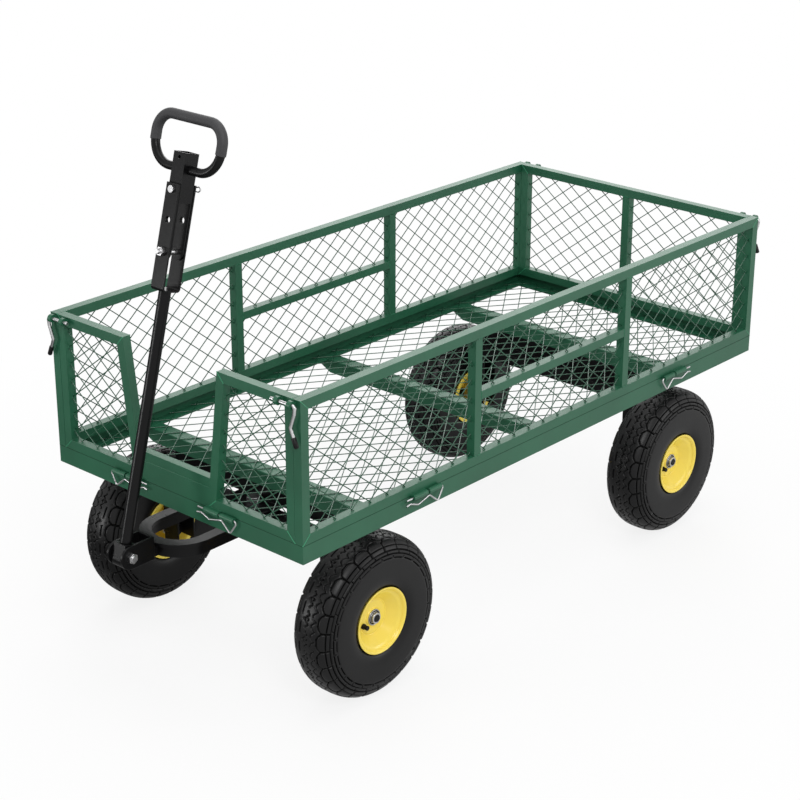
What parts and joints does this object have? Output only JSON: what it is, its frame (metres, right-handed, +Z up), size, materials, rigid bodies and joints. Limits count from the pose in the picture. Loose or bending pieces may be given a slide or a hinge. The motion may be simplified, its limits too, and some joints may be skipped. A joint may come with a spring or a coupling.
{
  "type": "garden cart",
  "caption": "Steel mesh garden cart with folding sides, pneumatic wheels, a steered front axle and a pull handle whose grip folds over a towing bracket.",
  "frame": {"origin": "on the ground under the middle of the cart's length and width", "axes": "+Z up, +Y to the rear, +X to the cart's right as seen from its front, the side the picture shows"},
  "size_m": [0.581, 1.342, 0.9199],
  "materials": {
    "green_steel": "satin powder coat",
    "black_steel": "satin",
    "yellow_steel": "gloss",
    "zinc": "bright zinc",
    "tyre": "matte",
    "foam": "matte",
    "valve_rubber": "matte"
  },
  "bodies": {
    "tray": {"deck_frame": "green_steel", "deck_mesh": "green_steel", "cross_members": "green_steel", "front_bolster": "black_steel", "rear_carrier": "black_steel", "rear_axle": "black_steel", "rear_wheel_nuts": "zinc"},
    "steering": {"steering_beam": "black_steel", "front_axle": "black_steel", "kingpin": "zinc", "tongue": "black_steel", "tongue_clevis": "black_steel", "handle_bolt": "zinc", "front_wheel_nuts": "zinc"},
    "handle": {"handle_rod": "black_steel", "handle_foot": "black_steel", "towing_bracket": "black_steel", "grip_pivot_bolt": "zinc"},
    "grip": {"grip_tube": "black_steel", "grip_loop": "black_steel", "grip_sleeve": "foam"},
    "lock_pin": {"hitch_pin": "zinc"},
    "lock_clip": {"r_clip": "zinc"},
    "wheel_front_left": {"tyre_front_left": "tyre", "rim_front_left": "yellow_steel", "bearings_front_left": "zinc", "valve_front_left": "valve_rubber"},
    "wheel_front_right": {"tyre_front_right": "tyre", "rim_front_right": "yellow_steel", "bearings_front_right": "zinc", "valve_front_right": "valve_rubber"},
    "wheel_rear_left": {"tyre_rear_left": "tyre", "rim_rear_left": "yellow_steel", "bearings_rear_left": "zinc", "valve_rear_left": "valve_rubber"},
    "wheel_rear_right": {"tyre_rear_right": "tyre", "rim_rear_right": "yellow_steel", "bearings_rear_right": "zinc", "valve_rear_right": "valve_rubber"},
    "front_side": {"front_panel": "green_steel", "front_mesh": "green_steel"},
    "rear_side": {"rear_panel": "green_steel", "rear_mesh": "green_steel"},
    "left_side": {"left_panel": "green_steel", "left_mesh": "green_steel"},
    "right_side": {"right_panel": "green_steel", "right_mesh": "green_steel"},
    "corner_latch_front_left": {"latch_front_left": "zinc"},
    "corner_latch_front_right": {"latch_front_right": "zinc"},
    "corner_latch_rear_left": {"latch_rear_left": "zinc"},
    "corner_latch_rear_right": {"latch_rear_right": "zinc"},
    "wire_pin_front_left": {"hinge_pin_front_left": "zinc"},
    "wire_pin_front_right": {"hinge_pin_front_right": "zinc"},
    "wire_pin_rear_left": {"hinge_pin_rear_left": "zinc"},
    "wire_pin_rear_right": {"hinge_pin_rear_right": "zinc"},
    "wire_pin_left_front": {"hinge_pin_left_front": "zinc"},
    "wire_pin_left_rear": {"hinge_pin_left_rear": "zinc"},
    "wire_pin_right_front": {"hinge_pin_right_front": "zinc"},
    "wire_pin_right_rear": {"hinge_pin_right_rear": "zinc"}
  },
  "joints": [
    {"name": "steering_turn", "type": "hinge", "parent": "tray", "child": "steering", "pos_m": [0, -0.3745, 0.2457], "axis": [0, 0, 1], "range_deg": [-25, 25]},
    {"name": "wheel_front_left_roll", "type": "hinge", "parent": "steering", "child": "wheel_front_left", "pos_m": [-0.2473, -0.3745, 0.1356], "axis": [1, 0, 0], "continuous": true},
    {"name": "wheel_front_right_roll", "type": "hinge", "parent": "steering", "child": "wheel_front_right", "pos_m": [0.2473, -0.3745, 0.1356], "axis": [1, 0, 0], "continuous": true},
    {"name": "wheel_rear_left_roll", "type": "hinge", "parent": "tray", "child": "wheel_rear_left", "pos_m": [-0.2473, 0.434, 0.1356], "axis": [1, 0, 0], "continuous": true},
    {"name": "wheel_rear_right_roll", "type": "hinge", "parent": "tray", "child": "wheel_rear_right", "pos_m": [0.2473, 0.434, 0.1356], "axis": [1, 0, 0], "continuous": true},
    {"name": "handle_tilt", "type": "hinge", "parent": "steering", "child": "handle", "pos_m": [0, -0.6515, 0.2587], "axis": [1, 0, 0], "range_deg": [0, 118]},
    {"name": "grip_fold", "type": "hinge", "parent": "handle", "child": "grip", "pos_m": [0, -0.52856, 0.71752], "axis": [0, 0.9659, -0.2588], "range_deg": [0, 148]},
    {"name": "lock_pin_pull", "type": "slide", "parent": "handle", "child": "lock_pin", "axis": [0, -0.9659, 0.2588], "range_m": [0, 0.045]},
    {"name": "lock_clip_pull", "type": "slide", "parent": "handle", "child": "lock_clip", "axis": [1, 0, 0], "range_m": [0, 0.03]},
    {"name": "front_side_fold", "type": "hinge", "parent": "tray", "child": "front_side", "pos_m": [0, -0.5485, 0.3237], "axis": [1, 0, 0], "range_deg": [0, 105]},
    {"name": "rear_side_fold", "type": "hinge", "parent": "tray", "child": "rear_side", "pos_m": [0, 0.6615, 0.3237], "axis": [-1, 0, 0], "range_deg": [0, 175]},
    {"name": "left_side_fold", "type": "hinge", "parent": "tray", "child": "left_side", "pos_m": [-0.286, 0.0565, 0.3237], "axis": [0, -1, 0], "range_deg": [0, 165]},
    {"name": "right_side_fold", "type": "hinge", "parent": "tray", "child": "right_side", "pos_m": [0.286, 0.0565, 0.3237], "axis": [0, 1, 0], "range_deg": [0, 165]},
    {"name": "corner_latch_front_left_pull", "type": "slide", "parent": "left_side", "child": "corner_latch_front_left", "axis": [-1, 0, 0], "range_m": [0, 0.034]},
    {"name": "corner_latch_front_right_pull", "type": "slide", "parent": "right_side", "child": "corner_latch_front_right", "axis": [1, 0, 0], "range_m": [0, 0.034]},
    {"name": "corner_latch_rear_left_pull", "type": "slide", "parent": "left_side", "child": "corner_latch_rear_left", "axis": [-1, 0, 0], "range_m": [0, 0.034]},
    {"name": "corner_latch_rear_right_pull", "type": "slide", "parent": "right_side", "child": "corner_latch_rear_right", "axis": [1, 0, 0], "range_m": [0, 0.034]},
    {"name": "wire_pin_front_left_pull", "type": "slide", "parent": "tray", "child": "wire_pin_front_left", "axis": [-1, 0, 0], "range_m": [0, 0.082]},
    {"name": "wire_pin_front_right_pull", "type": "slide", "parent": "tray", "child": "wire_pin_front_right", "axis": [1, 0, 0], "range_m": [0, 0.082]},
    {"name": "wire_pin_rear_left_pull", "type": "slide", "parent": "tray", "child": "wire_pin_rear_left", "axis": [-1, 0, 0], "range_m": [0, 0.082]},
    {"name": "wire_pin_rear_right_pull", "type": "slide", "parent": "tray", "child": "wire_pin_rear_right", "axis": [1, 0, 0], "range_m": [0, 0.082]},
    {"name": "wire_pin_left_front_pull", "type": "slide", "parent": "tray", "child": "wire_pin_left_front", "axis": [0, 1, 0], "range_m": [0, 0.082]},
    {"name": "wire_pin_left_rear_pull", "type": "slide", "parent": "tray", "child": "wire_pin_left_rear", "axis": [0, -1, 0], "range_m": [0, 0.082]},
    {"name": "wire_pin_right_front_pull", "type": "slide", "parent": "tray", "child": "wire_pin_right_front", "axis": [0, 1, 0], "range_m": [0, 0.082]},
    {"name": "wire_pin_right_rear_pull", "type": "slide", "parent": "tray", "child": "wire_pin_right_rear", "axis": [0, -1, 0], "range_m": [0, 0.082]}
  ]
}
